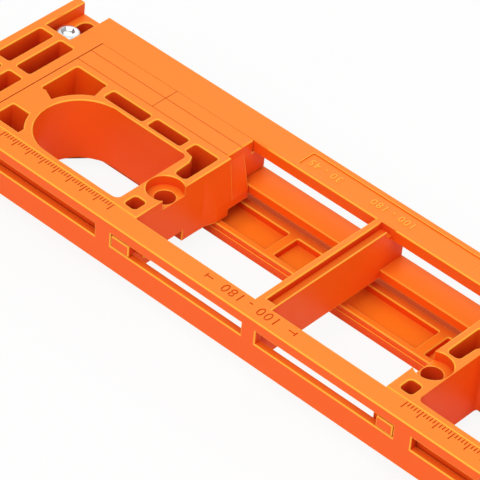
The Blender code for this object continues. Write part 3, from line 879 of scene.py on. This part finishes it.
# %% [markdown]
# Sliders
#
# The sliders are rounded in the same way. Their tops carry fine step lines where the mould's
# inserts meet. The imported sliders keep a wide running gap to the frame, and the real ones fit
# closer, so two faces of each copy are moved out until only a fine line shows. The edges beside
# the gaps stay square.

# %% Faces that close up to the frame
CLOSER = 0.2
SLIDER_NEAR = 6.7
SLIDER_FAR = 51.8
TONGUE_TOP = 11.3


def move_faces(piece, y, travel, lowest):
    """Moves the points of one upright face along Y, those above a height; in millimetres."""
    face = at(0, y, lowest)
    select_where(piece, lambda place: abs(place.y - face.y) < 0.05 * MM and place.z > face.z)
    bpy.ops.transform.translate(value=(0.0, travel * MM, 0.0))
    bpy.ops.object.mode_set(mode="OBJECT")


# %% Sliders
SLIDER_BOTTOM = -8.0
SLIDER_OUTER = 99.8
SEAM_WIDTH = 0.30
SEAM_DEPTH = 0.20
LONG_SEAMS = ((70.0, 42.4, 64.0, SEAM_WIDTH), (70.0, 47.6, 64.0, SEAM_WIDTH))
CROSS_SEAM = (71.8, 47.4, SEAM_WIDTH, 10.0)


def square_on_slider(place):
    """Edges that stay square: those of the top at the far rail and at the end plate."""
    along_far = place.y > at(0, SLIDER_FAR + NEAR_ENOUGH).y
    along_end = abs(place.x) > (SLIDER_OUTER - NEAR_ENOUGH) * MM
    return place.z > TOP - NEAR_ENOUGH * MM and (along_far or along_end)


for side, node in ((-1, "slider_left"), (1, "slider_right")):
    slider = merged_copy(node, node + "_moulding")
    move_faces(slider, SLIDER_FAR, CLOSER, SLIDER_BOTTOM)
    move_faces(slider, SLIDER_NEAR, -CLOSER, TONGUE_TOP - NEAR_ENOUGH)
    cut_levels(slider)
    round_edges(slider, keep_square=square_on_slider)
    for x, y, along_x, along_y in (*LONG_SEAMS, CROSS_SEAM):
        engrave(slider, wedge(side * x, y, along_x, along_y, SEAM_DEPTH))
    finish_piece(slider, node, node, slider_plastic)

# %% [markdown]
# Fence
#
# The fence is a bar with sunk panels. It hangs below the frame and shows through its openings. It
# comes from the same kind of mould, so it is cut and rounded like the frame.

# %% Fence
fence = merged_copy("width_fence", "width_fence_moulding")
cut_levels(fence)
round_edges(fence)
finish_piece(fence, "fence", "width_fence", fence_plastic)

# %% [markdown]
# Screws
#
# Each fence screw has a low domed head with a hexagon socket, and a thread. A turned piece is
# drawn as half of its outline, one point extruded from the last, and spun about its axis. The
# thread is made by moving the points of the shank in and out along a helix. The socket is a
# hexagon that narrows towards its floor, as a pressed one does, and its walls are marked so that
# the steel paints them dark, as painted shade.

# %% Turning an outline
def turned(name, outline, centre, steps):
    """Spins (radius, height) points about an upright axis; sizes in millimetres."""
    points = [centre + Vector((radius, 0.0, height)) * MM for radius, height in outline]
    only()
    bpy.ops.mesh.primitive_plane_add(size=0.1 * MM, location=points[0])
    made = bpy.context.object
    made.name = name
    made.data.name = name
    bpy.ops.object.transform_apply(location=True, rotation=True, scale=True)
    bpy.ops.object.mode_set(mode="EDIT")
    bpy.ops.mesh.select_mode(type="VERT")
    bpy.ops.mesh.select_all(action="SELECT")
    bpy.ops.mesh.merge(type="CENTER")
    for start, end in zip(points, points[1:]):
        bpy.ops.mesh.extrude_region_move(TRANSFORM_OT_translate={"value": end - start})
    bpy.ops.mesh.select_all(action="SELECT")
    bpy.ops.mesh.spin(steps=steps, angle=2 * math.pi, center=centre, axis=(0.0, 0.0, 1.0))
    close_up()
    return made


def hexagon(flats, centre, low, high):
    """A hexagon bar with two corners on the Y axis; sizes in millimetres."""
    only()
    middle = centre + Vector((0.0, 0.0, (low + high) / 2 * MM))
    bpy.ops.mesh.primitive_cylinder_add(vertices=6, radius=flats / math.sqrt(3) * MM,
                                        depth=(high - low) * MM, location=middle)
    made = bpy.context.object
    bpy.ops.object.transform_apply(location=True, rotation=True, scale=True)
    return made


# %% One screw
HEAD_HEIGHT = 2.2
SOCKET_MOUTH = 3.7
SOCKET_FLOOR = 2.3
SOCKET_DEPTH = 0.8
THREAD_PITCH = 0.7
THREAD_START = -5.0
ROOT_RADIUS = 1.65
SHANK_RADIUS = 1.98

screw_low, screw_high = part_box("fence_screw_left")
seat = (screw_low + screw_high) / 2
seat.z = screw_high.z - HEAD_HEIGHT * MM
shank_end = (screw_low.z - seat.z) / MM
rings = int((THREAD_START - shank_end) / (THREAD_PITCH / 4))
outline = [(0.0, 2.18), (1.9, 2.2), (2.6, 2.1), (3.1, 1.85), (3.4, 1.45), (3.48, 1.0), (3.48, 0.2),
           (3.35, 0.0), (2.1, 0.0), (SHANK_RADIUS, -0.2)]
outline += [(SHANK_RADIUS, THREAD_START - step * THREAD_PITCH / 4) for step in range(rings)]
outline += [(1.5, shank_end), (0.0, shank_end)]
screw = turned("fence_screw_left_turned", outline, seat, 48)
for vertex in screw.data.vertices:
    place = (vertex.co - seat) / MM
    if shank_end + 0.1 < place.z < THREAD_START - 0.1:
        phase = (place.z / THREAD_PITCH - math.atan2(place.y, place.x) / (2 * math.pi)) % 1.0
        ridge = min(1.0, 1.3 * (1.0 - abs(2.0 * phase - 1.0)))
        radius = ROOT_RADIUS + (SHANK_RADIUS - ROOT_RADIUS) * ridge
        vertex.co.xy = seat.xy + Vector((place.x, place.y)).normalized() * radius * MM
tool_flats = 2 * SOCKET_MOUTH - SOCKET_FLOOR
socket = hexagon(tool_flats, seat, HEAD_HEIGHT - SOCKET_DEPTH, HEAD_HEIGHT + SOCKET_DEPTH)
select_where(socket, lambda place: place.z < seat.z + HEAD_HEIGHT * MM)
narrower = SOCKET_FLOOR / tool_flats
bpy.ops.transform.resize(value=(narrower, narrower, 1.0), center_override=seat)
bpy.ops.object.mode_set(mode="OBJECT")
give_slots(screw)
# The socket's walls are marked for their painted shade.
engrave(screw, with_marked_sides(socket))
print("screw", len(screw.data.polygons), "faces")

# %% [markdown]
# Nuts
#
# A nut is a hexagon whose corners are turned off on both sides, with a bore that is opened a
# little at each end. The turned shape and the hexagon are crossed, and the bore is cut out.

# %% One nut
NUT_FLATS = 7.0
NUT_CORNER_RADIUS = 4.1
NUT_FACE_RADIUS = 3.3
NUT_CHAMFER = 0.4
BORE_RADIUS = 2.15
BORE_MOUTH = 2.8

nut_low, nut_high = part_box("fence_nut_left")
base = Vector((seat.x, seat.y, nut_low.z))
height = (nut_high.z - nut_low.z) / MM
blank = [(0.0, 0.0), (NUT_FACE_RADIUS, 0.0), (NUT_CORNER_RADIUS, NUT_CHAMFER),
         (NUT_CORNER_RADIUS, height - NUT_CHAMFER), (NUT_FACE_RADIUS, height), (0.0, height)]
nut = turned("fence_nut_left_turned", blank, base, 64)
bar = hexagon(NUT_FLATS, base, -1.0, height + 1.0)
apply_modifier(nut, "BOOLEAN", object=bar, operation="INTERSECT", solver="EXACT")
bpy.data.objects.remove(bar)
bore = [(0.0, -0.4), (BORE_MOUTH, -0.4), (BORE_RADIUS, 0.25), (BORE_RADIUS, height - 0.25),
        (BORE_MOUTH, height + 0.4), (0.0, height + 0.4)]
engrave(nut, turned("bore", bore, base, 48))
print("nut", len(nut.data.polygons), "faces")

# %% The same on the right, and finish
for made, node, steel in ((screw, "fence_screw", screw_steel), (nut, "fence_nut", nut_steel)):
    only(made)
    bpy.ops.object.duplicate()
    twin = bpy.context.object
    twin.name = node + "_right_turned"
    twin.data.name = twin.name
    twin_low, twin_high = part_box(node + "_right")
    twin.location.x = (twin_low.x + twin_high.x) / 2 - seat.x
    bpy.ops.object.transform_apply(location=True, rotation=True, scale=True)
    finish_piece(made, "fence", node + "_left", steel)
    finish_piece(twin, "fence", node + "_right", steel)
